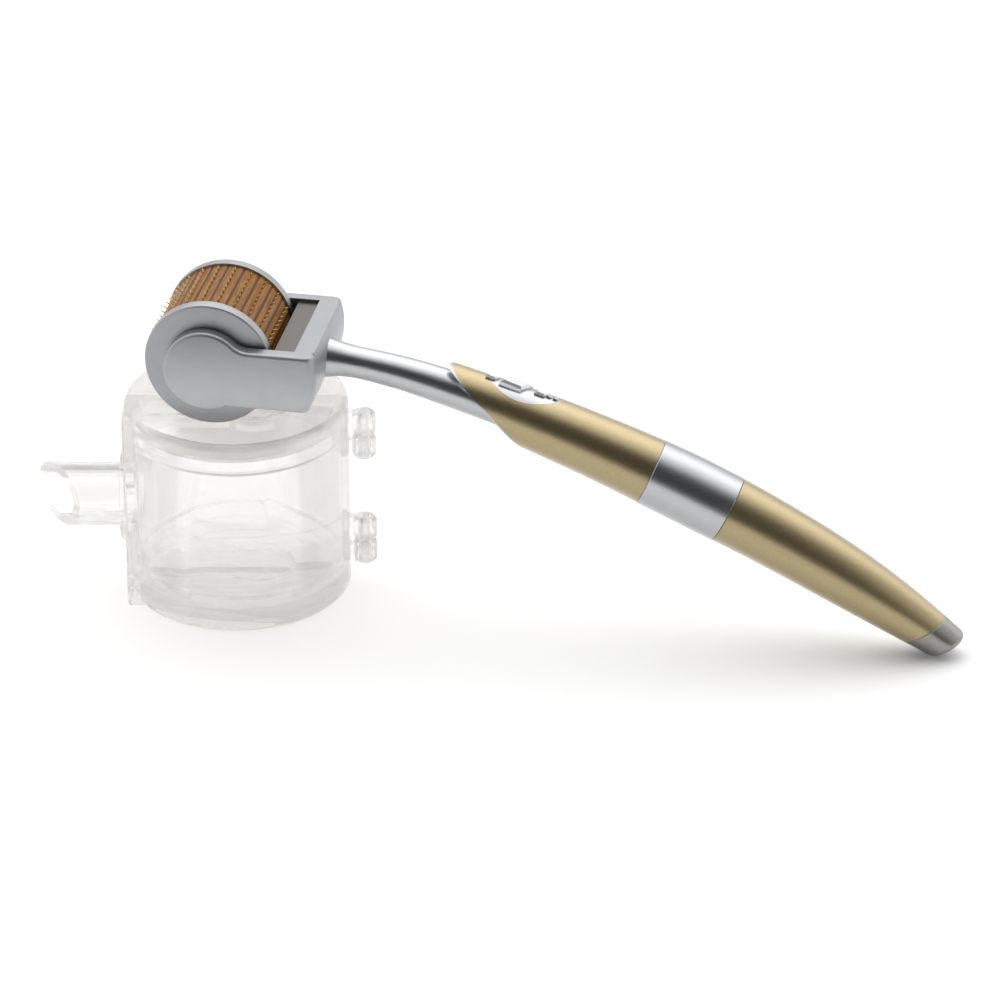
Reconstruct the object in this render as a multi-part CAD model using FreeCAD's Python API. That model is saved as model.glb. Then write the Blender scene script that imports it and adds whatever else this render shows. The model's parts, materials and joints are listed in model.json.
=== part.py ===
import FreeCAD, Part
import math
import os
from FreeCAD import Rotation, Vector

# Skin-needling hand roller, resting on the clear two-part case that protects its head.
# Millimetres. Row frame: origin at the centre of the case's base on the table, +Z up,
# the case's spout towards -X and its hinge towards +X, the seam of the case in the XZ plane.
# Roller frame (head and handle): origin at the middle of the axle, +X along the handle,
# +Y along the axle towards the far arm, +Z up.

# --- general ---
FAR = 200.0                 # longer than the whole object, for cutters
NEAR = 0.1                  # how close an edge lies to the place it is picked by
LAP = 2.0                   # of cutters and joined bodies into each other

# --- drum and needles ---
DRUM_R = 10.7
DRUM_LENGTH = 14.9
NEEDLE_ROWS = 24
NEEDLES_PER_ROW = 8
NEEDLE_PITCH = 1.7
NEEDLE_R = 0.14
NEEDLE_OUT = 0.9            # length that stands out of the drum
NEEDLE_POINT = 0.5          # length of the conical point
NEEDLE_TIP_FLAT = 0.014     # radius left at the tip
NEEDLE_DEEP = 1.2           # length held in the drum
NEEDLE_FIT = 0.02
FLANGE_LIP = 0.45           # of the flange past the drum
FLANGE_T = 1.9
FLANGE_EDGE = 0.4
FLANGE_CROWN = 0.45         # of the outer face's middle past its rim
FLANGE_SPIGOT_R = 6.0
FLANGE_SPIGOT_L = 1.0
SPIGOT_FIT = 0.03

# --- axle ---
AXLE_R = 1.5
AXLE_IN_ARM = 1.8
AXLE_FIT = 0.04             # running clearance in the bushes, radial
DRUM_BORE_FIT = 0.08
FLANGE_BORE_FIT = 0.16
AXLE_BEVEL = 0.2
BUSH_R = 2.6
BUSH_L = 4.0
BUSH_FIT = 0.01
WASHER_R = 3.2
WASHER_T = 0.25
WASHER_PLAY = 0.05          # between a washer and the flange
WASHER_BORE_FIT = 0.03

# --- fork ---
ARM_T = 2.5
ARM_CROWN_R = 70.0          # of the outer face, bulged from top to bottom
ARM_CROWN_W = -1.0          # height of its fullest line
BOSS_R = 7.23
NECK_R = 4.0                # concave run from the boss to the arm's top
BAR_TOP = 4.25
BAR_BOTTOM = -6.3
POCKET_GAP = 0.55           # between needle tips and the block's hollow
BLOCK_T = 6.55              # from the hollow to the rear's top edge
BLOCK_BULGE = 0.6           # of the rear past its top edge
BULGE_DOWN = 0.4            # share of the rear's height down to its fullest place
BLOCK_TUCK = 0.9            # of the rear's low edge
BAR_T = 3.4                 # the bar's top, behind the step
SHELF_DROP = 0.6
ARM_EDGE = 0.7
REAR_EDGE = 1.5             # upright corners of the rear
DOWEL_R = 0.6
DOWEL_HALF = 5.0
DOWEL_FIT = 0.02
DOWEL_FROM_REAR = 1.7
DOWEL_INSET = 1.4           # from the bar's top and bottom

# --- handle line: three tangent arcs in the roller's mid-plane ---
LINE_START_W = -1.36
LINE_START_IN = 0.1         # past the fork's rear top edge
LINE_ANGLE = 4.5            # degrees below level at the start
LINE_ARCS = ((98.7, 12.1), (338.6, 8.5), (286.0, 10.9))
STEM_R = 3.15               # inside the handle
# Places along the line where the neck is fuller (+) or finer (-) than inside the handle.
STEM_SHAPE = ((-1.6, 0.6), (0.0, 0.35), (2.6, -0.18), (7.8, -0.37), (14.0, -0.2), (20.5, -0.02), (26.0, 0.0))
STEM_BORE_FROM = 14.0
STEM_END_GAP = 12.9         # between the neck's inner end and the band
STEM_SPIGOT_R = 2.0
STEM_BEND_END = 8.0         # from the neck's last shaped place to where it is plain
STEM_END_ROOM = 0.5         # of its bore past its end
STEM_SPIGOT_FLOOR = 1.4     # left between the spigot's end and the hollow
STEM_FIT = 0.06
STEM_PIN_R = 0.6
STEM_PIN_HALF = 3.5
STEM_PIN_IN = 2.6
SHELL_START = 17.0          # along the handle's line
SHELL_TRIM = 0.5            # cut from the shell's start, inside the slanted cut
STATION_STEP = 9.0          # between the rings of a bar that follows the line
BAND_START = 58.9
BAND_LENGTH = 14.8
BAND_PROUD = 0.06           # of the band past the shells
REAR_LENGTH = 39.5
CAP_LENGTH = 5.6
# Radius of the handle at shares of the front stretch, of the band, and of the rear to its tip.
FRONT_SHAPE = ((0.0, 4.35), (0.17, 4.58), (0.37, 4.92), (0.57, 5.3), (0.82, 5.6), (1.0, 5.85))
BAND_SHAPE = ((0.4, 5.97), (1.0, 5.95))
REAR_SHAPE = ((0.35, 5.6), (0.61, 5.05), (0.84, 4.12), (1.1, 2.75))
# Slanted front edge: places along the line and heights above it.
SCOOP_LEAD = (6.0, 8.0)     # straight run of the cutter above and ahead of the edge
SCOOP_TAIL = (6.0, 5.0)     # and below and behind it
SCOOP = ((19.6, 4.75), (29.2, 0.4), (38.2, -5.5))
TRIM_T = 0.35
SHELL_WALL = 1.5
SLEEVE_REACH = 7.0          # of the joint sleeve past each end of the band
SLEEVE_WALL = 1.2
SLEEVE_FIT = 0.05
CAP_SLANT = 25.0            # degrees that the cap's faces lean from square
CAP_LEAN_ROOM = 6.0         # more than a face leans to either side of its place
CAP_EDGE = 0.9
JOINT_BEVEL = 0.18          # on the band's and the cap's edges where they meet the shells
CAP_PLUG_L = 6.0
CAP_FIT = 0.04

# --- leaf and studs on top of the handle ---
LEAF_START = 26.7
LEAF_END = 40.3
LEAF_HALF_W = 3.0
LEAF_T = 0.5
LEAF_FIT = 0.02
STUD_SIDE_A = (3.9, -0.1)   # along the handle, towards the far side
STUD_SIDE_B = (1.7, 2.6)
STUD_RISE = 0.85
STUD_BEVEL = 0.4
STUDS = ((32.1, 1.0), (28.0, 0.42), (36.7, 0.45), (38.1, 0.18), (39.2, 0.18))   # places and sizes

# --- how the roller lies on the case ---
AXLE_XY = (-2.18, -2.91)
HANDLE_YAW = -10.58
REST_GAP = 0.35             # between the needle tips and the case

# --- clear case ---
CASE_R = 19.5
CASE_H = 36.6
CASE_WALL = 1.5
END_T = 4.0
CASE_EDGE = 1.4
SHOULDER_T = 1.3
SHOULDER_H = 2.2
KEY_R = 6.3
KEY_X = 3.2
KEY_W = 9.4
KEY_DEEP = 1.2
SEAM_GAP = 0.05
BAR_INSET = 0.1             # of its flat face from the case's roundest point
BAR_Y = 9.5
BAR_DEEP = 3.4
SPOUT_DROP = 1.1            # of its axis below the middle of the case's height
SPOUT_R = 5.65
SPOUT_BORE = 3.9
SPOUT_LENGTH = 11.9         # along its axis, from the case's wall
SPOUT_SLANT = 35.0
SPOUT_BOSS_R = 8.2
SPOUT_BOSS_T = 0.9
HINGE_STAND_OFF = 2.6       # of the hinge's axis from the case's wall
KNUCKLE_R = 2.1
KNUCKLE_H = 4.35
KNUCKLE_GAP = 0.15
KNUCKLE_EDGE = 0.9
WEB_INSET = 0.5             # of a knuckle's web from the knuckle's ends
HINGE_LOW = 3.95            # underside of the lower hinge
HINGE_HIGH_GAP = 3.05       # from the upper hinge to the case's top
WEB_SHARE = 0.8             # of a knuckle's radius that its web is thick
HINGE_PIN_R = 0.8
HINGE_PIN_FIT = 0.04
HINGE_CLEAR = 0.15

NEEDLE_TIP_R = DRUM_R + NEEDLE_OUT
FLANGE_R = DRUM_R + FLANGE_LIP
DRUM_HALF = DRUM_LENGTH / 2
FLANGE_OUT = DRUM_HALF + FLANGE_T
ARM_IN = FLANGE_OUT + FLANGE_CROWN + WASHER_T + WASHER_PLAY
ARM_OUT = ARM_IN + ARM_T
POCKET_R = NEEDLE_TIP_R + POCKET_GAP
BLOCK_REAR = POCKET_R + BLOCK_T
LINE_START_U = BLOCK_REAR + LINE_START_IN
BAND_END = BAND_START + BAND_LENGTH
CAP_START = BAND_END + REAR_LENGTH
CAP_END = CAP_START + CAP_LENGTH
STEM_END = BAND_START - STEM_END_GAP
STEM_STATIONS = [(s, STEM_R + more) for s, more in STEM_SHAPE]
STEM_INSIDE = (STEM_SHAPE[-1][0] + STEM_BEND_END, STEM_END - 2 * LAP, STEM_END)
SPOUT_Z = CASE_H / 2 - SPOUT_DROP
SPOUT_REACH = CASE_R + SPOUT_LENGTH
BAR_X = CASE_R - BAR_INSET
HINGE_X = CASE_R + HINGE_STAND_OFF
AXLE_HEIGHT = CASE_H + REST_GAP + NEEDLE_TIP_R
X_AXIS = Vector(1, 0, 0)
Y_AXIS = Vector(0, 1, 0)
Z_AXIS = Vector(0, 0, 1)


# ---------- helpers ----------
def tube_y(radius, y0, y1, u=0.0, w=0.0):
    """A cylinder along the axle."""
    return Part.makeCylinder(radius, y1 - y0, Vector(u, y0, w), Y_AXIS)


def block(x0, x1, y0, y1, z0, z1):
    return Part.makeBox(x1 - x0, y1 - y0, z1 - z0, Vector(x0, y0, z0))


def mirrored(shape):
    """The same piece on the other side of the roller's mid-plane."""
    return shape.mirror(Vector(0, 0, 0), Y_AXIS)


def plan(edges, y0, y1):
    """A flat outline in the roller's XZ plane, made solid between two places along the axle."""
    face = Part.Face(Part.Wire(edges))
    solid = face.extrude(Vector(0, y1 - y0, 0))
    solid.translate(Vector(0, y0, 0))
    return solid


def at(u, w):
    return Vector(u, 0, w)


# ---------- the handle's line ----------
def line_at(s):
    """Place and downward angle (radians) of the handle's line, s millimetres from the fork."""
    u, w = LINE_START_U, LINE_START_W
    angle = math.radians(LINE_ANGLE)
    if s <= 0:
        return u + s * math.cos(angle), w - s * math.sin(angle), angle
    for radius, turn in LINE_ARCS:
        step = min(s / radius, math.radians(turn))
        u += radius * (math.sin(angle + step) - math.sin(angle))
        w -= radius * (math.cos(angle) - math.cos(angle + step))
        angle += step
        s -= step * radius
    return u + s * math.cos(angle), w - s * math.sin(angle), angle


def lofted(stations, straight=False):
    """A round body along the handle's line through (s, radius) stations, smooth or straight between them."""
    rings = []
    for s, radius in stations:
        u, w, angle = line_at(s)
        ring = Part.Wire(Part.makeCircle(radius, Vector(0, 0, 0), X_AXIS))
        ring.rotate(Vector(0, 0, 0), Y_AXIS, math.degrees(angle))
        ring.translate(at(u, w))
        rings.append(ring)
    return Part.makeLoft(rings, True, straight)


def stretch(shape, start, length):
    return [(start + share * length, radius) for share, radius in shape]


SHELL_CUT = SHELL_START + SHELL_TRIM
FRONT_STATIONS = stretch(FRONT_SHAPE, SHELL_START, BAND_START - SHELL_START)
BAND_STATIONS = stretch(BAND_SHAPE, BAND_START, BAND_LENGTH)
REAR_STATIONS = stretch(REAR_SHAPE, BAND_END, REAR_LENGTH + CAP_LENGTH)
HANDLE_STATIONS = FRONT_STATIONS + BAND_STATIONS + REAR_STATIONS


def handle_radius(s):
    """The handle's outer radius, straight between the stations."""
    for (s0, r0), (s1, r1) in zip(HANDLE_STATIONS, HANDLE_STATIONS[1:]):
        if s <= s1:
            break
    return r0 + (r1 - r0) * (s - s0) / (s1 - s0)


def handle_body(inset=0.0):
    return lofted([(s, radius - inset) for s, radius in HANDLE_STATIONS])


def line_tube(radius, s0, s1):
    """A round bar or bore of one radius that follows the handle's line."""
    count = max(2, int((s1 - s0) / STATION_STEP) + 1)
    return lofted([(s0 + (s1 - s0) * i / (count - 1), radius) for i in range(count)])


def slice_box(s0, s1, lean=0.0):
    """A block that holds the stretch s0 to s1 of the handle, its faces leaning by lean degrees."""
    walls = []
    for s in (s0, s1):
        u, w, angle = line_at(s)
        angle += math.radians(lean)
        walls.append((Vector(u, 0, w), Vector(math.cos(angle), 0, -math.sin(angle))))
    halves = []
    for (place, along), length in zip(walls, (FAR, -FAR)):
        half = Part.makeBox(FAR, FAR, FAR, Vector(0, -FAR / 2, -FAR / 2))
        half.rotate(Vector(0, 0, 0), Y_AXIS, math.degrees(math.atan2(-along.z, along.x)))
        if length < 0:
            half.translate(along * length)
        half.translate(place)
        halves.append(half)
    return halves[0].common(halves[1])


# ---------- drum ----------
def row_angles():
    """Needle rows round the drum, the lowest two level with each other."""
    return [-90 + 360 * (i + 0.5) / NEEDLE_ROWS for i in range(NEEDLE_ROWS)]


def ring_places():
    half = (NEEDLES_PER_ROW - 1) / 2
    return [(i - half) * NEEDLE_PITCH for i in range(NEEDLES_PER_ROW)]


def outward(shape, y, angle):
    """Turns a piece made along +Z from the drum's axis to one place in the needle pattern."""
    shape.rotate(Vector(0, 0, 0), Y_AXIS, 90 - angle)
    shape.translate(Vector(0, y, 0))
    return shape


def one_needle():
    base = DRUM_R - NEEDLE_DEEP
    shank = Part.makeCylinder(NEEDLE_R, NEEDLE_TIP_R - NEEDLE_POINT - base, Vector(0, 0, base))
    point = Part.makeCone(NEEDLE_R, NEEDLE_TIP_FLAT, NEEDLE_POINT, Vector(0, 0, NEEDLE_TIP_R - NEEDLE_POINT))
    return shank.fuse(point)


def needle_ring(y):
    return Part.makeCompound([outward(one_needle(), y, angle) for angle in row_angles()])


def drum_core():
    """Drum with a flat for each row of needles, their sockets, and seats for flanges and bushes."""
    corner = DRUM_R / math.cos(math.pi / NEEDLE_ROWS)
    step = 2 * math.pi / NEEDLE_ROWS
    turns = [step * i - math.pi / 2 for i in range(NEEDLE_ROWS)]
    corners = [at(corner * math.cos(turn), corner * math.sin(turn)) for turn in turns]
    core = plan(Part.makePolygon(corners + corners[:1]).Edges, -DRUM_HALF, DRUM_HALF)
    core = core.common(tube_y(DRUM_R + (corner - DRUM_R) / 2, -DRUM_HALF, DRUM_HALF))
    core = core.cut(tube_y(AXLE_R + DRUM_BORE_FIT, -DRUM_HALF, DRUM_HALF))
    for side in (-1, 1):
        seat_r = FLANGE_SPIGOT_R + SPIGOT_FIT
        seat = tube_y(seat_r, DRUM_HALF - FLANGE_SPIGOT_L - SPIGOT_FIT, DRUM_HALF)
        hole = tube_y(BUSH_R + BUSH_FIT, DRUM_HALF - FLANGE_SPIGOT_L - BUSH_L, DRUM_HALF)
        cutter = seat.fuse(hole)
        core = core.cut(cutter if side > 0 else mirrored(cutter))
    socket_base = DRUM_R - NEEDLE_DEEP - NEEDLE_FIT
    sockets = []
    for y in ring_places():
        for angle in row_angles():
            socket = Part.makeCylinder(NEEDLE_R + NEEDLE_FIT, NEEDLE_DEEP + LAP, Vector(0, 0, socket_base))
            sockets.append(outward(socket, y, angle))
    return core.cut(Part.makeCompound(sockets))


def far_flange():
    """Disc with a gently crowned outer face and a spigot that centres it in the drum."""
    top = FLANGE_OUT + FLANGE_CROWN
    crown_r = (FLANGE_R ** 2 + FLANGE_CROWN ** 2) / (2 * FLANGE_CROWN)
    crown = Part.makeSphere(crown_r, Vector(0, top - crown_r, 0))
    disc = tube_y(FLANGE_R, DRUM_HALF, top).common(crown)
    rim = [edge for edge in disc.Edges if abs(edge.CenterOfMass.y - FLANGE_OUT) < NEAR]
    disc = disc.makeFillet(FLANGE_EDGE, rim)
    disc = disc.fuse(tube_y(FLANGE_SPIGOT_R, DRUM_HALF - FLANGE_SPIGOT_L, DRUM_HALF))
    return disc.cut(tube_y(AXLE_R + FLANGE_BORE_FIT, 0, FAR)).removeSplitter()


def far_bush():
    end = DRUM_HALF - FLANGE_SPIGOT_L
    return tube_y(BUSH_R, end - BUSH_L, end).cut(tube_y(AXLE_R + AXLE_FIT, 0, FAR))


def axle_pin():
    reach = ARM_IN + AXLE_IN_ARM
    pin = tube_y(AXLE_R, -reach, reach)
    ends = [edge for edge in pin.Edges if abs(edge.CenterOfMass.y) > reach - NEAR]
    return pin.makeChamfer(AXLE_BEVEL, ends)


def far_washer():
    washer = tube_y(WASHER_R, ARM_IN - WASHER_T, ARM_IN)
    return washer.cut(tube_y(AXLE_R + WASHER_BORE_FIT, 0, FAR))


# ---------- fork ----------
def rear_edges():
    """The bulged rear of the fork and the corners it joins."""
    top = at(BLOCK_REAR, BAR_TOP)
    low = at(BLOCK_REAR - BLOCK_TUCK, BAR_BOTTOM)
    middle = at(BLOCK_REAR + BLOCK_BULGE, BAR_TOP - BULGE_DOWN * (BAR_TOP - BAR_BOTTOM))
    return top, low, Part.Arc(top, middle, low).toShape()


def arm_outline():
    """Round boss, concave neck, straight arm and bulged rear, as one loop."""
    top, low, rear = rear_edges()
    neck_w = BAR_TOP + NECK_R
    neck_u = math.sqrt((BOSS_R + NECK_R) ** 2 - neck_w ** 2)
    share = BOSS_R / (BOSS_R + NECK_R)
    leave = at(neck_u * share, neck_w * share)
    land = at(neck_u, BAR_TOP)
    middle_angle = (math.atan2(leave.z - neck_w, leave.x - neck_u) - math.pi / 2) / 2
    middle = at(neck_u + NECK_R * math.cos(middle_angle), neck_w + NECK_R * math.sin(middle_angle))
    under = at(math.sqrt(BOSS_R ** 2 - BAR_BOTTOM ** 2), BAR_BOTTOM)
    return [Part.Arc(leave, middle, land).toShape(), Part.LineSegment(land, top).toShape(), rear,
            Part.LineSegment(low, under).toShape(), Part.Arc(under, at(-BOSS_R, 0), leave).toShape()]


def block_outline():
    top, low, rear = rear_edges()
    inner = NEEDLE_TIP_R - LAP
    return [Part.LineSegment(at(inner, BAR_TOP), top).toShape(), rear,
            Part.LineSegment(low, at(inner, BAR_BOTTOM)).toShape(),
            Part.LineSegment(at(inner, BAR_BOTTOM), at(inner, BAR_TOP)).toShape()]


def fork_block(half_width):
    """The bar between the arms: hollowed towards the drum, its top stepped down beside the drum."""
    bar = plan(block_outline(), 0, half_width)
    bar = bar.cut(tube_y(POCKET_R, -LAP, FAR))
    return bar.cut(block(0, BLOCK_REAR - BAR_T, -LAP, ARM_IN, BAR_TOP - SHELF_DROP, BAR_TOP + LAP))


def dowel_places():
    u = BLOCK_REAR - DOWEL_FROM_REAR
    return ((u, BAR_TOP - DOWEL_INSET), (u, BAR_BOTTOM + DOWEL_INSET))


def stem_spigot(extra=0.0):
    u, w, angle = line_at(0)
    along = Vector(math.cos(angle), 0, -math.sin(angle))
    length = BLOCK_T - STEM_SPIGOT_FLOOR + extra
    root = at(u, w) - along * length
    return Part.makeCylinder(STEM_SPIGOT_R + extra, length + LAP, root, along)


def pin_place():
    u, w, angle = line_at(-STEM_PIN_IN)
    return u, w


def far_fork_half():
    arm = plan(arm_outline(), ARM_IN, ARM_OUT)
    crown = Part.makeCylinder(ARM_CROWN_R, FAR, Vector(-FAR / 2, ARM_OUT - ARM_CROWN_R, ARM_CROWN_W), X_AXIS)
    arm = arm.common(crown)
    outer = [edge for edge in arm.Edges if edge.BoundBox.YMin > ARM_IN + ARM_T / 2]
    rear = [edge for edge in outer if edge.BoundBox.XMin > BLOCK_REAR - BLOCK_TUCK - NEAR]
    arm = arm.makeFillet(REAR_EDGE, rear)
    outer = [edge for edge in arm.Edges if edge.BoundBox.YMin > ARM_IN + NEAR
             and edge.BoundBox.XMax < BLOCK_REAR + NEAR and edge.BoundBox.XMin < BLOCK_REAR - REAR_EDGE - LAP]
    arm = arm.makeFillet(ARM_EDGE, outer)
    half = arm.fuse(fork_block(ARM_IN)).removeSplitter()
    half = half.cut(tube_y(AXLE_R, ARM_IN - LAP, ARM_IN + AXLE_IN_ARM))
    for u, w in dowel_places():
        half = half.cut(tube_y(DOWEL_R + DOWEL_FIT, -LAP, DOWEL_HALF + DOWEL_FIT, u, w))
    u, w = pin_place()
    half = half.cut(tube_y(STEM_PIN_R + DOWEL_FIT, -LAP, STEM_PIN_HALF + DOWEL_FIT, u, w))
    return half.cut(stem_spigot(STEM_FIT))


def fork_dowels():
    return Part.makeCompound([tube_y(DOWEL_R, -DOWEL_HALF, DOWEL_HALF, u, w) for u, w in dowel_places()])


def stem_pin():
    u, w = pin_place()
    return tube_y(STEM_PIN_R, -STEM_PIN_HALF, STEM_PIN_HALF, u, w)


# ---------- handle ----------
def stem():
    """Bent neck, flared where it meets the fork, with its spigot and the length inside the shell."""
    neck = lofted(STEM_STATIONS + [(s, STEM_R) for s in STEM_INSIDE])
    whole = plan(block_outline(), -ARM_IN, ARM_IN)
    neck = neck.cut(whole).fuse(stem_spigot())
    u, w = pin_place()
    return neck.cut(tube_y(STEM_PIN_R + DOWEL_FIT, -FAR / 2, FAR / 2, u, w)).removeSplitter()


def scoop_cutter(shift):
    """Everything in front of the handle's slanted front edge."""
    points = []
    for s, height in SCOOP:
        u, w, angle = line_at(s)
        points.append(at(u + height * math.sin(angle) + shift, w + height * math.cos(angle)))
    start = points[0] + at(-SCOOP_LEAD[0], SCOOP_LEAD[1])
    finish = points[2] + at(SCOOP_TAIL[0], -SCOOP_TAIL[1])
    edges = [Part.LineSegment(start, points[0]).toShape(), Part.Arc(*points).toShape(),
             Part.LineSegment(points[2], finish).toShape(),
             Part.LineSegment(finish, at(0, finish.z)).toShape(),
             Part.LineSegment(at(0, finish.z), at(0, start.z)).toShape(),
             Part.LineSegment(at(0, start.z), start).toShape()]
    return plan(edges, -FAR / 8, FAR / 8)


def stem_bore():
    """Hole for the neck, from outside the shell's front to just past the neck's end."""
    neck = [station for station in STEM_STATIONS if station[0] >= STEM_BORE_FROM]
    inside = [(s, STEM_R) for s in STEM_INSIDE] + [(STEM_END + STEM_END_ROOM, STEM_R)]
    return lofted([(s, radius + STEM_FIT) for s, radius in neck + inside])


def joint_sleeve_radius():
    return min(handle_radius(BAND_START), handle_radius(BAND_END)) - SHELL_WALL


def sleeve_ends():
    return BAND_START - SLEEVE_REACH, BAND_END + SLEEVE_REACH


def joint_sleeve():
    """Inner tube that joins the two shells under the band."""
    start, end = sleeve_ends()
    radius = joint_sleeve_radius()
    outer = line_tube(radius, start, end)
    return outer.cut(line_tube(radius - SLEEVE_WALL, start - LAP, end + LAP))


def front_shell():
    body = handle_body().common(slice_box(SHELL_CUT, BAND_START))
    body = body.cut(scoop_cutter(TRIM_T)).cut(stem_bore())
    start = sleeve_ends()[0]
    body = body.cut(line_tube(joint_sleeve_radius() + SLEEVE_FIT, start, BAND_START + LAP))
    return less_studs(body.cut(leaf(LEAF_FIT)))


def front_trim():
    """Thin bright lip along the slanted front edge of the shell."""
    body = handle_body().common(slice_box(SHELL_CUT, BAND_START))
    return body.cut(scoop_cutter(0)).common(scoop_cutter(TRIM_T)).cut(stem_bore())


def leaf_prism(extra):
    """A pointed oval seen from above, standing through the handle's top."""
    u0, w0, a0 = line_at(LEAF_START - extra)
    u1, w1, a1 = line_at(LEAF_END + extra)
    length = math.hypot(u1 - u0, w1 - w0)
    half = LEAF_HALF_W + extra
    ends = (Vector(0, 0, 0), Vector(length, 0, 0))
    sides = [Part.Arc(ends[0], Vector(length / 2, side * half, 0), ends[1]).toShape() for side in (1, -1)]
    prism = Part.Face(Part.Wire(sides)).extrude(Vector(0, 0, 2 * handle_radius(BAND_END)))
    prism.rotate(Vector(0, 0, 0), Y_AXIS, math.degrees((a0 + a1) / 2))
    prism.translate(at(u0, w0))
    return prism


def leaf(extra=0.0):
    """Inlay that follows the shell's own surface."""
    plate = handle_body().common(leaf_prism(extra))
    return plate.cut(handle_body(LEAF_T + extra))


def stud(s, size):
    """A leaning four-sided stud with bevelled top edges, standing on the leaf."""
    u, w, angle = line_at(s)
    base = handle_radius(s) - LEAF_T / 2
    corners = []
    for a, b in ((-1, -1), (1, -1), (1, 1), (-1, 1)):
        x = (a * STUD_SIDE_A[0] + b * STUD_SIDE_B[0]) / 2 * size
        y = (a * STUD_SIDE_A[1] + b * STUD_SIDE_B[1]) / 2 * size
        corners.append(Vector(x, y, base))
    rise = LEAF_T / 2 + STUD_RISE * math.sqrt(size)
    post = Part.Face(Part.makePolygon(corners + corners[:1])).extrude(Vector(0, 0, rise))
    top = [edge for edge in post.Edges if abs(edge.BoundBox.ZMin - base - rise) < NEAR]
    post = post.makeChamfer(STUD_BEVEL * size, top)
    post.rotate(Vector(0, 0, 0), Y_AXIS, math.degrees(angle))
    post.translate(at(u, w))
    return post.cut(handle_body(LEAF_T / 2))


def less_studs(shape):
    """The shape with a seat for every stud."""
    for s, size in STUDS:
        shape = shape.cut(stud(s, size))
    return shape.removeSplitter()


def leaf_inlay():
    return less_studs(leaf())


def band():
    """Silver ring between the shells, a little proud of them, its outer edges bevelled."""
    full = [BAND_START + JOINT_BEVEL, (BAND_START + BAND_END) / 2, BAND_END - JOINT_BEVEL]
    profile = [(s, handle_radius(s) + BAND_PROUD) for s in full]
    start = (BAND_START, profile[0][1] - JOINT_BEVEL)
    end = (BAND_END, profile[-1][1] - JOINT_BEVEL)
    ring = lofted([start] + profile + [end], True)
    return ring.cut(line_tube(joint_sleeve_radius() + SLEEVE_FIT, BAND_START - LAP, BAND_END + LAP))


def rear_shell():
    body = handle_body().common(slice_box(BAND_END, CAP_START + CAP_LEAN_ROOM))
    body = body.cut(slice_box(CAP_START, CAP_START + FAR / 2, CAP_SLANT))
    return body.cut(lofted([(s, radius - SHELL_WALL) for s, radius in BAND_STATIONS + REAR_STATIONS]))


def cap_plug():
    """The part of the end cap that goes inside the rear shell."""
    inner = [(s, radius - SHELL_WALL - CAP_FIT) for s, radius in BAND_STATIONS[1:] + REAR_STATIONS]
    return lofted(inner).common(slice_box(CAP_START - CAP_PLUG_L, CAP_START + LAP))


def ring_near(shape, s):
    """The closed edges whose middles lie at one place of the handle's line."""
    u, w, angle = line_at(s)
    return [edge for edge in shape.Edges if (edge.CenterOfMass - at(u, w)).Length < CAP_LENGTH / 4]


def end_cap():
    """Slanted tip with a rounded end and a plug that fits the rear shell."""
    tip = handle_body().common(slice_box(CAP_START - CAP_LEAN_ROOM, CAP_END + CAP_LEAN_ROOM))
    tip = tip.common(slice_box(CAP_START, CAP_END, CAP_SLANT))
    tip = tip.makeFillet(CAP_EDGE, ring_near(tip, CAP_END))
    tip = tip.makeChamfer(JOINT_BEVEL, ring_near(tip, CAP_START))
    return tip.fuse(cap_plug()).removeSplitter()


# ---------- case ----------
def case_outer():
    body = Part.makeCylinder(CASE_R, CASE_H)
    rims = [edge for edge in body.Edges if edge.Length > 2 * CASE_R and len(edge.Vertexes) == 1]
    return body.makeFillet(CASE_EDGE, rims)


def keyhole(z0, z1):
    """Round place for the fork's boss and a slot for its arm, towards the spout."""
    round_place = Part.makeCylinder(KEY_R, z1 - z0, Vector(KEY_X, 0, z0))
    shoulder = CASE_R - CASE_WALL - SHOULDER_T
    slot_box = block(-CASE_R, KEY_X, -KEY_W / 2, KEY_W / 2, z0, z1)
    slot_box = slot_box.common(Part.makeCylinder(shoulder, z1 - z0, Vector(0, 0, z0)))
    return round_place.fuse(slot_box)


def case_hollow():
    inner = CASE_R - CASE_WALL
    low, high = END_T, CASE_H - END_T
    hollow = Part.makeCylinder(inner - SHOULDER_T, high - low, Vector(0, 0, low))
    middle = Part.makeCylinder(inner, high - low - 2 * SHOULDER_H, Vector(0, 0, low + SHOULDER_H))
    hollow = hollow.fuse(middle)
    hollow = hollow.fuse(keyhole(low - KEY_DEEP, low + LAP))
    return hollow.fuse(keyhole(high - LAP, high + KEY_DEEP)).removeSplitter()


def spout():
    """Tube for the neck, its end cut on a slant that leaves the rear side longer."""
    reach = SPOUT_REACH + SPOUT_R
    tube = Part.makeCylinder(SPOUT_R, reach - CASE_R + LAP, Vector(-reach, 0, SPOUT_Z), X_AXIS)
    base_x = -CASE_R - SPOUT_BOSS_T
    boss = Part.makeCylinder(SPOUT_BOSS_R, SPOUT_BOSS_T + 2 * LAP, Vector(base_x, 0, SPOUT_Z), X_AXIS)
    tube = tube.fuse(boss)
    cutter = block(-FAR, 0, -FAR / 2, FAR / 2, 0, FAR)
    cutter.rotate(Vector(0, 0, 0), Z_AXIS, SPOUT_SLANT)
    cutter.translate(Vector(-SPOUT_REACH, 0, -SPOUT_R))
    return tube.cut(cutter)


def spout_bore():
    reach = SPOUT_REACH + 3 * SPOUT_R
    inner = CASE_R - CASE_WALL - SHOULDER_T
    return Part.makeCylinder(SPOUT_BORE, reach - inner + LAP, Vector(-reach, 0, SPOUT_Z), X_AXIS)


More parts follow.
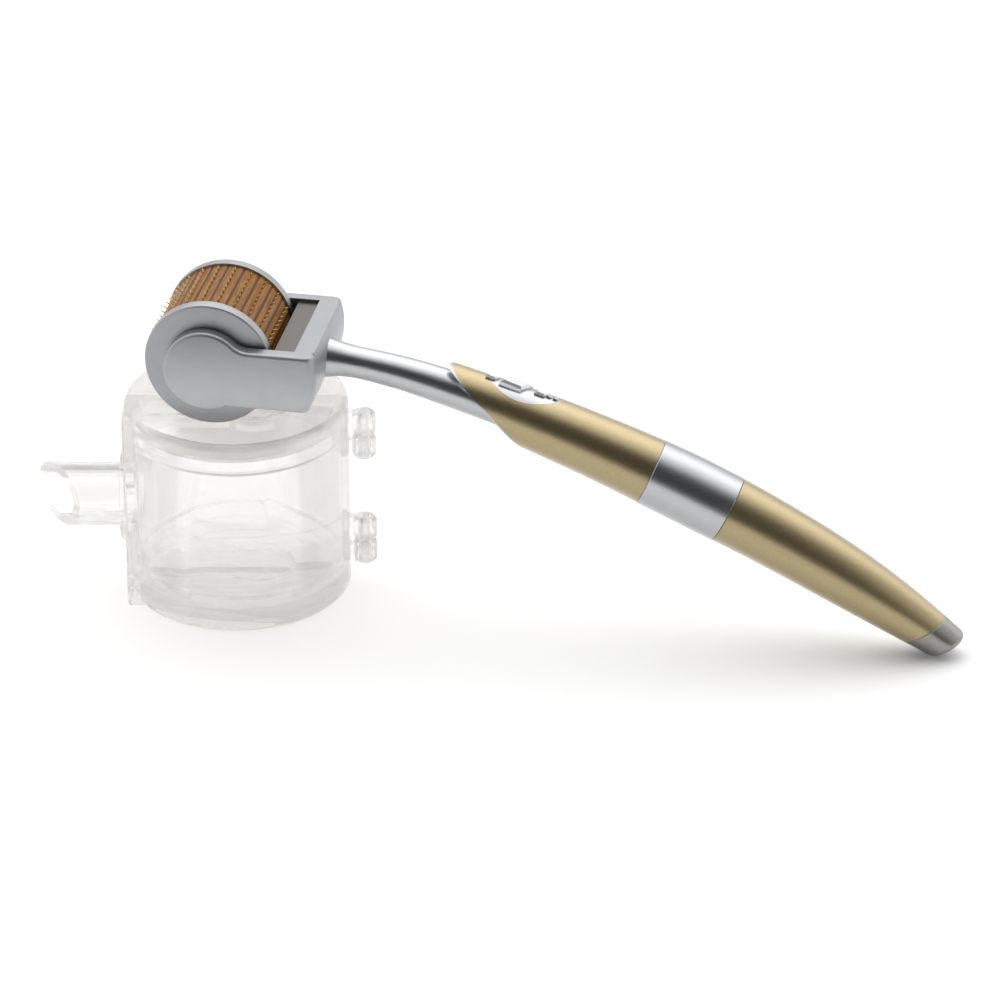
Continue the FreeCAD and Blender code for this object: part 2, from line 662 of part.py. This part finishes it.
def closing_bar():
    """Square bar down the front half's free edge."""
    bar = block(-BAR_X, -BAR_X + BAR_DEEP, -BAR_Y, 0, 0, CASE_H)
    edges = [edge for edge in bar.Edges if edge.BoundBox.XMax < -BAR_X + NEAR]
    return bar.makeFillet(CASE_EDGE / 2, [edge for edge in edges if edge.BoundBox.YMax < -NEAR
                                          or edge.BoundBox.ZLength < NEAR])


def hinge_bases():
    """Underside of each of the two hinges."""
    return HINGE_LOW, CASE_H - HINGE_HIGH_GAP - 2 * KNUCKLE_H - KNUCKLE_GAP


def knuckle(z0, side):
    """One hinge knuckle and the web that carries it, on the front (-1) or rear (1) half."""
    eye = Part.makeCylinder(KNUCKLE_R, KNUCKLE_H, Vector(HINGE_X, 0, z0))
    eye = eye.makeFillet(KNUCKLE_EDGE, [edge for edge in eye.Edges if len(edge.Vertexes) == 1])
    low = CASE_R - CASE_WALL / 2
    y0, y1 = sorted((side * SEAM_GAP, side * KNUCKLE_R * WEB_SHARE))
    web = block(low, HINGE_X, y0, y1, z0 + WEB_INSET, z0 + KNUCKLE_H - WEB_INSET)
    bore_r = HINGE_PIN_R + HINGE_PIN_FIT * (side + 1) / 2
    return eye.fuse(web).cut(Part.makeCylinder(bore_r, FAR, Vector(HINGE_X, 0, 0)))


def clear_of_other_knuckle(z0):
    """Room round the other half's knuckle."""
    return Part.makeCylinder(KNUCKLE_R + HINGE_CLEAR, KNUCKLE_H, Vector(HINGE_X, 0, z0))


def case_half(side):
    """Front (-1) or rear (1) half: shell, half spout and its own knuckles."""
    y0, y1 = sorted((side * SEAM_GAP / 2, side * FAR / 2))
    room = block(-FAR / 2, CASE_R, y0, y1, -LAP, FAR)
    body = case_outer().fuse(spout())
    if side < 0:
        body = body.fuse(closing_bar())
    body = body.cut(case_hollow()).cut(spout_bore()).common(room)
    for base in hinge_bases():
        own = base if side < 0 else base + KNUCKLE_H + KNUCKLE_GAP
        other = base + KNUCKLE_H + KNUCKLE_GAP if side < 0 else base
        body = body.cut(clear_of_other_knuckle(other))
        body = body.fuse(knuckle(own, side))
    return body.removeSplitter()


def hinge_pins():
    length = 2 * KNUCKLE_H + KNUCKLE_GAP
    return Part.makeCompound([Part.makeCylinder(HINGE_PIN_R, length, Vector(HINGE_X, 0, base))
                              for base in hinge_bases()])


# ---------- the whole thing ----------
def roller_pieces():
    far_half = far_fork_half()
    flange = far_flange()
    bush = far_bush()
    washer = far_washer()
    studs = [stud(s, size) for s, size in STUDS]
    pieces = {
        "fork_far_half": far_half,
        "fork_near_half": mirrored(far_half),
        "fork_dowels": fork_dowels(),
        "axle_pin": axle_pin(),
        "far_washer": washer,
        "near_washer": mirrored(washer),
        "stem": stem(),
        "stem_pin": stem_pin(),
        "front_shell": front_shell(),
        "front_trim": front_trim(),
        "leaf_inlay": leaf_inlay(),
        "large_stud": studs[0],
        "small_studs": Part.makeCompound(studs[1:]),
        "joint_sleeve": joint_sleeve(),
        "band": band(),
        "rear_shell": rear_shell(),
        "end_cap": end_cap(),
        "drum_core": drum_core(),
        "far_flange": flange,
        "near_flange": mirrored(flange),
        "far_bush": bush,
        "near_bush": mirrored(bush),
    }
    for number, y in enumerate(ring_places(), start=1):
        pieces["needle_ring_%d" % number] = needle_ring(y)
    return pieces


def lowest_when_turned(shape, degrees):
    turned = shape.copy()
    turned.rotate(Vector(0, 0, 0), Y_AXIS, degrees)
    return turned.optimalBoundingBox(False).ZMin


def resting_pitch(tip):
    """Degrees that the roller turns about its axle until the end cap meets the table."""
    low, high = -15.0, 15.0
    for _ in range(30):
        middle = (low + high) / 2
        if AXLE_HEIGHT + lowest_when_turned(tip, middle) > 0:
            low = middle
        else:
            high = middle
    return low


def place_roller(shape, pitch):
    shape.rotate(Vector(0, 0, 0), Y_AXIS, pitch)
    shape.rotate(Vector(0, 0, 0), Z_AXIS, HANDLE_YAW)
    shape.translate(Vector(AXLE_XY[0], AXLE_XY[1], AXLE_HEIGHT))


def main():
    os.makedirs("parts", exist_ok=True)
    pieces = roller_pieces()
    pitch = resting_pitch(pieces["end_cap"])
    print("resting pitch %.3f degrees" % pitch)
    for shape in pieces.values():
        place_roller(shape, pitch)
    pieces["case_front_half"] = case_half(-1)
    pieces["case_rear_half"] = case_half(1)
    pieces["hinge_pins"] = hinge_pins()
    for name, shape in pieces.items():
        if not shape.isValid():
            print("not valid:", name)
        print("%-16s solids %3d volume %9.2f" % (name, len(shape.Solids), shape.Volume))
        shape.exportStep("parts/%s.step" % name)


main()
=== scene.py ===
import json
import math

import bpy
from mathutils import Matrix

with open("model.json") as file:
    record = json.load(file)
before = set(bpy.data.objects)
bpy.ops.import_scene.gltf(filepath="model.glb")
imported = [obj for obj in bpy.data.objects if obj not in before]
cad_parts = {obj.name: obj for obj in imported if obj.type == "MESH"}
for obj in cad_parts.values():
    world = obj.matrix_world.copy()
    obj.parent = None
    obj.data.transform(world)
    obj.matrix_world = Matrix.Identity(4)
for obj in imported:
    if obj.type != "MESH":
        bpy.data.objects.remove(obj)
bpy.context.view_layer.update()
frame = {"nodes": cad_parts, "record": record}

# Derma roller resting on its clear head case, in metres, in the CAD frame: origin at the centre of the
# case's base, +Z up, the case's spout towards -X, the handle towards +X.

MM = 0.001

# Studio light, as radiance: a broad soft key behind the zenith, white backdrop and sides, dim room in front
KEY_WAY = (0.0, 0.36, 0.933)
KEY_RIM = 0.5
KEY_LIGHT = 1.75
BACK_LIGHT = 0.7
SIDE_LIGHT = 1.0
ROOM_LIGHT = 0.04

# The drum's axle, from the record's spinning joint
SPIN = next(joint for joint in frame["record"]["behaviour"]["joints"] if joint["name"] == "drum_spin")
AXLE_PLACE = tuple(SPIN["pos_m"])
AXLE_TURN = -math.atan2(SPIN["axis"][0], SPIN["axis"][1])

# Needle rows round the drum; the moulding's streaks to a row's width, and their length in millimetres
ROWS = 24
STREAKS_PER_ROW = 8.0
STREAK_LONG = 6.0

# Where the fork's painted shade changes, in millimetres from the middle of the axle: each change's start and
# end
RECESS_TOP = (3.95, 3.75)
RECESS_FRONT = (7.6, 8.2)
RECESS_REAR = (15.6, 15.2)
RECESS_SIDE = (10.2, 10.0)
ARM_FACE = (9.9, 10.05)
BAR_FRONT = (11.2, 11.5)
TOP_SHADE_HEIGHTS = (-4.0, 9.0)

# Camera's place and degrees below level, half the table's width, and the distance within which points are one
CAMERA_PLACE = (0.0458, -0.77107, 0.4339)
CAMERA_DOWN = 28.466
TABLE_HALF = 3.0
WELD = 2e-7


# ---------------------------------------------------------------- colour and node helpers
def linear(code):
    """sRGB hex text to a linear RGBA tuple."""
    parts = [int(code[i:i + 2], 16) / 255 for i in (1, 3, 5)]
    return tuple(c / 12.92 if c <= 0.04045 else ((c + 0.055) / 1.055) ** 2.4 for c in parts) + (1.0,)


def add(tree, kind, links=None, inputs=None, **settings):
    """Adds one node: settings are its properties, inputs its constant sockets, links its incoming wires."""
    made = tree.nodes.new(kind)
    for name, value in settings.items():
        setattr(made, name, value)
    for name, value in (inputs or {}).items():
        made.inputs[name].default_value = value
    for name, source in (links or {}).items():
        tree.links.new(source, made.inputs[name])
    return made


def new_material(name, **surface):
    """A material whose Principled shader gets its constants straight on its sockets."""
    material = bpy.data.materials.new(name)
    material.use_nodes = True
    tree = material.node_tree
    shader = tree.nodes["Principled BSDF"]
    for socket, value in surface.items():
        shader.inputs[socket.replace("_", " ")].default_value = value
    return material, tree, shader


def object_coords(tree, size=1.0):
    """Object coordinates in millimetres, divided by a pattern size in millimetres."""
    place = add(tree, "ShaderNodeTexCoord").outputs["Object"]
    scale = 1 / (size * MM)
    return add(tree, "ShaderNodeMapping", {"Vector": place}, {"Scale": (scale, scale, scale)}).outputs[0]


def axle_coords(tree):
    """Millimetres from the middle of the axle: X along the handle, Y along the axle, Z up."""
    place = add(tree, "ShaderNodeTexCoord").outputs["Object"]
    return add(tree, "ShaderNodeMapping", {"Vector": place},
               {"Location": AXLE_PLACE, "Rotation": (0, 0, AXLE_TURN), "Scale": (MM, MM, MM)},
               vector_type="TEXTURE").outputs[0]


def mottle(tree, shader, size, light, dark, detail=3.0):
    """Slow colour variation between two hex colours over patches of a size in millimetres."""
    noise = add(tree, "ShaderNodeTexNoise", {"Vector": object_coords(tree, size)},
                {"Scale": 1.0, "Detail": detail, "Roughness": 0.55})
    blend = add(tree, "ShaderNodeMix", {"Factor": noise.outputs["Fac"]},
                {"A": linear(dark), "B": linear(light)}, data_type="RGBA").outputs["Result"]
    tree.links.new(blend, shader.inputs["Base Color"])
    return blend


def grain(tree, shader, size, height, spread):
    """Fine bump of grains of a size and height in millimetres; the roughness follows, spread to either side.

    Blast marks and lacquer flake are a few hundredths of a millimetre across, too fine to show, so the sizes
    given here are two to four times coarser.
    """
    noise = add(tree, "ShaderNodeTexNoise", {"Vector": object_coords(tree, size)},
                {"Scale": 1.0, "Detail": 4.0, "Roughness": 0.6}).outputs["Fac"]
    bump = add(tree, "ShaderNodeBump", {"Height": noise}, {"Strength": 1.0, "Distance": height * MM})
    tree.links.new(bump.outputs["Normal"], shader.inputs["Normal"])
    middle = shader.inputs["Roughness"].default_value
    rough = add(tree, "ShaderNodeMapRange", {"Value": noise},
                {"To Min": middle - spread, "To Max": middle + spread}).outputs["Result"]
    tree.links.new(rough, shader.inputs["Roughness"])


# ---------------------------------------------------------------- materials
def satin_silver_paint():
    """Satin silver lacquer on moulded ABS: soft metallic sheen, fine flake.

    Its colour carries painted shade: the arms and bar darker towards their top, the block between the arms a
    little darker, and the shelf beside the drum darkest.
    """
    material, tree, shader = new_material("satin silver lacquer on ABS", Metallic=0.9, Roughness=0.43)
    lacquer_and_shade = mottle(tree, shader, 3.0, "#B8B9BC", "#ACADB0")
    apart = add(tree, "ShaderNodeSeparateXYZ", {0: axle_coords(tree)}).outputs
    aside = add(tree, "ShaderNodeMath", {0: apart["Y"]}, operation="ABSOLUTE").outputs[0]
    edges = ((apart["Z"], RECESS_TOP), (apart["X"], RECESS_FRONT), (apart["X"], RECESS_REAR),
             (aside, RECESS_SIDE), (aside, ARM_FACE), (apart["X"], BAR_FRONT), (apart["Z"], TOP_SHADE_HEIGHTS))
    low, ahead, behind, inside, outer, rear, height = [
        add(tree, "ShaderNodeMapRange", {"Value": value}, {"From Min": start, "From Max": end}).outputs[0]
        for value, (start, end) in edges]
    fork = add(tree, "ShaderNodeMath", {0: outer, 1: rear}, operation="MAXIMUM").outputs[0]
    # Painted shade: #77787B comes in with height on the arms and bar, and at a fixed share on the block
    # between the arms
    top_shade = add(tree, "ShaderNodeMath", {0: height}, {1: 0.7}, operation="MULTIPLY").outputs[0]
    fork_shade = add(tree, "ShaderNodeMix", {0: fork, "B": top_shade}, {"A": 0.35}).outputs["Result"]
    lacquer_and_shade = add(tree, "ShaderNodeMix", {"Factor": fork_shade, "A": lacquer_and_shade}, {"B": linear("#77787B")},
                data_type="RGBA").outputs["Result"]
    # Painted shade on the shelf between the arms beside the drum: its colour darkened towards #6A6663
    recess_shade = low
    for share in (ahead, behind, inside):
        recess_shade = add(tree, "ShaderNodeMath", {0: recess_shade, 1: share}, operation="MULTIPLY").outputs[0]
    lacquer_and_shade = add(tree, "ShaderNodeMix", {"Factor": recess_shade, "A": lacquer_and_shade}, {"B": linear("#6A6663")},
                data_type="RGBA").outputs["Result"]
    tree.links.new(lacquer_and_shade, shader.inputs["Base Color"])
    grain(tree, shader, 0.12, 0.0012, 0.05)
    return material


def satin_anodised():
    """Satin anodised aluminium: clear reflections softened by a fine matt blast."""
    material, tree, shader = new_material("satin anodised aluminium", Metallic=1.0, Roughness=0.29)
    mottle(tree, shader, 2.0, "#BBBCC0", "#B1B2B6")
    grain(tree, shader, 0.08, 0.0006, 0.04)
    return material


def satin_gold_paint():
    """Champagne gold lacquer on ABS under a satin clear coat."""
    material, tree, shader = new_material("champagne gold lacquer on ABS", Metallic=0.95, Roughness=0.33)
    mottle(tree, shader, 0.45, "#AC9A70", "#988659", 5.0)
    shader.inputs["Coat Weight"].default_value = 1.0
    shader.inputs["Coat Roughness"].default_value = 0.3
    shader.inputs["Coat IOR"].default_value = 1.7
    grain(tree, shader, 0.1, 0.001, 0.04)
    return material


def satin_nickel():
    """Satin nickel plating on ABS: darker and greyer than the band."""
    material, tree, shader = new_material("satin nickel plating", Metallic=1.0, Roughness=0.27)
    mottle(tree, shader, 1.5, "#9E9B97", "#8A8783")
    grain(tree, shader, 0.08, 0.0008, 0.05)
    return material


def satin_chrome():
    """Satin chrome plating on the studs: soft light and dark faces."""
    material, tree, shader = new_material("satin chrome plating", Metallic=1.0, Roughness=0.31)
    mottle(tree, shader, 1.0, "#D4D4D6", "#C4C4C7")
    grain(tree, shader, 0.08, 0.0004, 0.05)
    return material


def amber_plastic():
    """Amber-brown moulded PEI, dull from the mould, so its IOR is set low.

    Streaks run along the drum, with a shadowed line between flats and a darker strip along each needle row.
    """
    material, tree, shader = new_material("amber brown moulded PEI", Roughness=0.525, IOR=1.35)
    apart = add(tree, "ShaderNodeSeparateXYZ", {0: axle_coords(tree)}).outputs
    turn = add(tree, "ShaderNodeMath", {0: apart["Z"], 1: apart["X"]}, operation="ARCTAN2").outputs[0]
    rows = add(tree, "ShaderNodeMath", {0: turn}, {1: ROWS / math.tau}, operation="MULTIPLY").outputs[0]
    across = add(tree, "ShaderNodeMath", {0: rows}, {1: 0.5}, operation="PINGPONG").outputs[0]
    edge = add(tree, "ShaderNodeMapRange", {"Value": across}, {"From Min": 0.13, "From Max": 0.03}).outputs[0]
    socket = add(tree, "ShaderNodeMapRange", {"Value": across},
                 {"From Min": 0.38, "From Max": 0.47, "To Max": 0.7}).outputs[0]
    # A row is 2.8 mm wide, so a streak is 0.35 mm wide
    ribs = add(tree, "ShaderNodeCombineXYZ", {"X": rows, "Y": apart["Y"]}).outputs[0]
    ribs = add(tree, "ShaderNodeMapping", {"Vector": ribs},
               {"Scale": (STREAKS_PER_ROW, 1 / STREAK_LONG, 1.0)}).outputs[0]
    streak = add(tree, "ShaderNodeTexNoise", {"Vector": ribs},
                 {"Scale": 1.0, "Detail": 3.0, "Roughness": 0.6}).outputs["Fac"]
    streak = add(tree, "ShaderNodeMapRange", {"Value": streak},
                 {"From Min": 0.32, "From Max": 0.68}).outputs[0]
    body = add(tree, "ShaderNodeMix", {"Factor": streak},
               {"A": linear("#6E451A"), "B": linear("#A3702C")}, data_type="RGBA").outputs["Result"]
    dark = add(tree, "ShaderNodeMath", {0: edge, 1: socket}, operation="MAXIMUM").outputs[0]
    body = add(tree, "ShaderNodeMix", {"Factor": dark, "A": body}, {"B": linear("#4A240A")},
               data_type="RGBA").outputs["Result"]
    tree.links.new(body, shader.inputs["Base Color"])
    grain(tree, shader, 0.15, 0.002, 0.075)
    return material


def titanium_gold():
    """Gold-coloured titanium nitride on fine steel needles."""
    material, tree, shader = new_material("titanium nitride on steel", Metallic=1.0, Roughness=0.23)
    mottle(tree, shader, 0.4, "#EBC88E", "#CFA468")
    grain(tree, shader, 0.05, 0.0004, 0.05)
    return material


def clear_polystyrene():
    """Clear moulded polystyrene: nearly unseen walls whose edges gather a pale warm haze."""
    material, tree, shader = new_material("clear moulded polystyrene", Roughness=0.0325, IOR=1.47)
    rim = add(tree, "ShaderNodeLayerWeight", inputs={"Blend": 0.5}).outputs["Facing"]
    tint = add(tree, "ShaderNodeMix", {"Factor": rim}, {"A": linear("#FBFBFB"), "B": linear("#E4E2E1")},
               data_type="RGBA").outputs["Result"]
    tree.links.new(tint, shader.inputs["Base Color"])
    haze = add(tree, "ShaderNodeMapRange", {"Value": rim},
               {"From Min": 0.3, "From Max": 1.0, "To Min": 0.97, "To Max": 0.4})
    tree.links.new(haze.outputs[0], shader.inputs["Transmission Weight"])
    grain(tree, shader, 0.3, 0.0002, 0.0125)
    # Shadows and bounced light pass through, and so does a share of what is seen: thin walls bend it little
    path = add(tree, "ShaderNodeLightPath").outputs
    soft = add(tree, "ShaderNodeMath", {0: path["Is Shadow Ray"], 1: path["Is Diffuse Ray"]},
               operation="MAXIMUM").outputs[0]
    soft = add(tree, "ShaderNodeMath", {0: soft}, {1: 0.25}, operation="MAXIMUM").outputs[0]
    through = add(tree, "ShaderNodeBsdfTransparent", inputs={"Color": linear("#FBFAF9")}).outputs[0]
    both = add(tree, "ShaderNodeMixShader", {"Fac": soft, 1: shader.outputs[0], 2: through}).outputs[0]
    tree.links.new(both, tree.nodes["Material Output"].inputs["Surface"])
    return material


def plain_steel():
    """Ground steel pin stock."""
    material, tree, shader = new_material("ground steel", Metallic=1.0, Roughness=0.315)
    mottle(tree, shader, 0.8, "#B4B4B6", "#9FA0A3")
    grain(tree, shader, 0.06, 0.0008, 0.065)
    return material


def white_acetal():
    """Natural white acetal of the bushes and washers."""
    material, tree, shader = new_material("white acetal", Roughness=0.45, IOR=1.48)
    mottle(tree, shader, 1.5, "#F2F1EC", "#E6E4DC")
    grain(tree, shader, 0.2, 0.002, 0.05)
    return material


def grey_nylon():
    """Grey moulded nylon of the sleeve inside the handle."""
    material, tree, shader = new_material("grey nylon", Roughness=0.55)
    mottle(tree, shader, 1.5, "#6B6C6E", "#5C5D60")
    grain(tree, shader, 0.2, 0.003, 0.05)
    return material


SLOT_MATERIALS = {
    "clear_plastic": clear_polystyrene(),
    "satin_silver": satin_silver_paint(),
    "steel": plain_steel(),
    "white_plastic": white_acetal(),
    "satin_metal": satin_anodised(),
    "polished_stud": satin_chrome(),
    "inner_plastic": grey_nylon(),
    "satin_gold": satin_gold_paint(),
    "dark_nickel": satin_nickel(),
    "amber_plastic": amber_plastic(),
    "needle_gold": titanium_gold(),
}


def soften_group(angle):
    """Geometry nodes that weld a mesh and shade it smooth, with edges over an angle kept crisp."""
    tree = bpy.data.node_groups.new("weld and shade", "GeometryNodeTree")
    tree.interface.new_socket("Geometry", in_out="INPUT", socket_type="NodeSocketGeometry")
    tree.interface.new_socket("Geometry", in_out="OUTPUT", socket_type="NodeSocketGeometry")
    start = add(tree, "NodeGroupInput").outputs[0]
    welded = add(tree, "GeometryNodeMergeByDistance", {"Geometry": start}, {"Distance": WELD}).outputs[0]
    smooth = add(tree, "GeometryNodeSetShadeSmooth", {"Geometry": welded}, domain="FACE").outputs[0]
    bend = add(tree, "GeometryNodeInputMeshEdgeAngle").outputs["Unsigned Angle"]
    crisp = add(tree, "FunctionNodeCompare", {"A": bend}, {"B": math.radians(angle)},
                operation="GREATER_THAN", data_type="FLOAT").outputs["Result"]
    done = add(tree, "GeometryNodeSetShadeSmooth", {"Geometry": smooth, "Selection": crisp},
               {"Shade Smooth": False}, domain="EDGE").outputs[0]
    add(tree, "NodeGroupOutput", {"Geometry": done})
    return tree


SOFTEN = soften_group(25.0)
# The drum's flats meet their narrow rounded corners at about 5 degrees and have to stay crisp
SOFTEN_DRUM = soften_group(3.0)


def finish_cad_nodes():
    """Gives every CAD node the material of its slot and smooth shading."""
    slots = {row["node"]: row["material_slot"] for row in frame["record"]["subparts"]}
    for name, piece in frame["nodes"].items():
        piece.data.materials.clear()
        piece.data.materials.append(SLOT_MATERIALS[slots[name]])
        group = SOFTEN_DRUM if name == "drum_core" else SOFTEN
        piece.modifiers.new("weld and shade", "NODES").node_group = group


# ---------------------------------------------------------------- studio
def studio():
    """White table under a soft sky: brightest just behind the zenith, white backdrop, dim room in front."""
    half = TABLE_HALF
    mesh = bpy.data.meshes.new("table")
    outline = [(-half, -half, 0), (half, -half, 0), (half, half, 0), (-half, half, 0)]
    mesh.from_pydata(outline, [], [(0, 1, 2, 3)])
    table = bpy.data.objects.new("table", mesh)
    bpy.context.scene.collection.objects.link(table)
    material, tree, shader = new_material("matt white paper", Roughness=0.9)
    shader.inputs["Base Color"].default_value = linear("#FAFAFA")
    shader.inputs["Specular IOR Level"].default_value = 0.1
    table.data.materials.append(material)

    world = bpy.data.worlds.new("soft studio")
    world.use_nodes = True
    tree = world.node_tree
    way = add(tree, "ShaderNodeTexCoord").outputs["Generated"]
    toward = add(tree, "ShaderNodeVectorMath", {0: way}, {1: KEY_WAY},
                 operation="DOT_PRODUCT").outputs["Value"]
    key = add(tree, "ShaderNodeMapRange", {"Value": toward},
              {"From Min": KEY_RIM, "From Max": 1.0, "To Max": KEY_LIGHT}, interpolation_type="SMOOTHSTEP")
    split = add(tree, "ShaderNodeSeparateXYZ", {0: way})
    back = add(tree, "ShaderNodeMapRange", {"Value": split.outputs["Y"]},
               {"From Min": -0.15, "From Max": 0.55, "To Max": BACK_LIGHT}, interpolation_type="SMOOTHSTEP")
    across = add(tree, "ShaderNodeMath", {0: split.outputs["X"]}, operation="ABSOLUTE").outputs[0]
    sides = add(tree, "ShaderNodeMapRange", {"Value": across},
                {"From Min": 0.35, "From Max": 0.95, "To Max": SIDE_LIGHT}, interpolation_type="SMOOTHSTEP")
    total = add(tree, "ShaderNodeMath", {0: key.outputs[0]}, {1: ROOM_LIGHT}, operation="ADD").outputs[0]
    for light in (back, sides):
        total = add(tree, "ShaderNodeMath", {0: total, 1: light.outputs[0]}, operation="ADD").outputs[0]
    sky = tree.nodes["Background"]
    sky.inputs["Color"].default_value = linear("#FFFFFF")
    tree.links.new(total, sky.inputs["Strength"])
    bpy.context.scene.world = world
    bpy.context.scene.view_settings.view_transform = "Standard"


def camera():
    """Long lens looking down on the object from in front of the case."""
    lens = bpy.data.cameras.new("camera")
    lens.lens = 180
    lens.sensor_width = 36
    lens.clip_start = 0.05
    holder = bpy.data.objects.new("camera", lens)
    holder.location = CAMERA_PLACE
    holder.rotation_euler = (math.radians(90 - CAMERA_DOWN), 0, 0)
    bpy.context.scene.collection.objects.link(holder)
    bpy.context.scene.camera = holder


camera()
studio()
finish_cad_nodes()
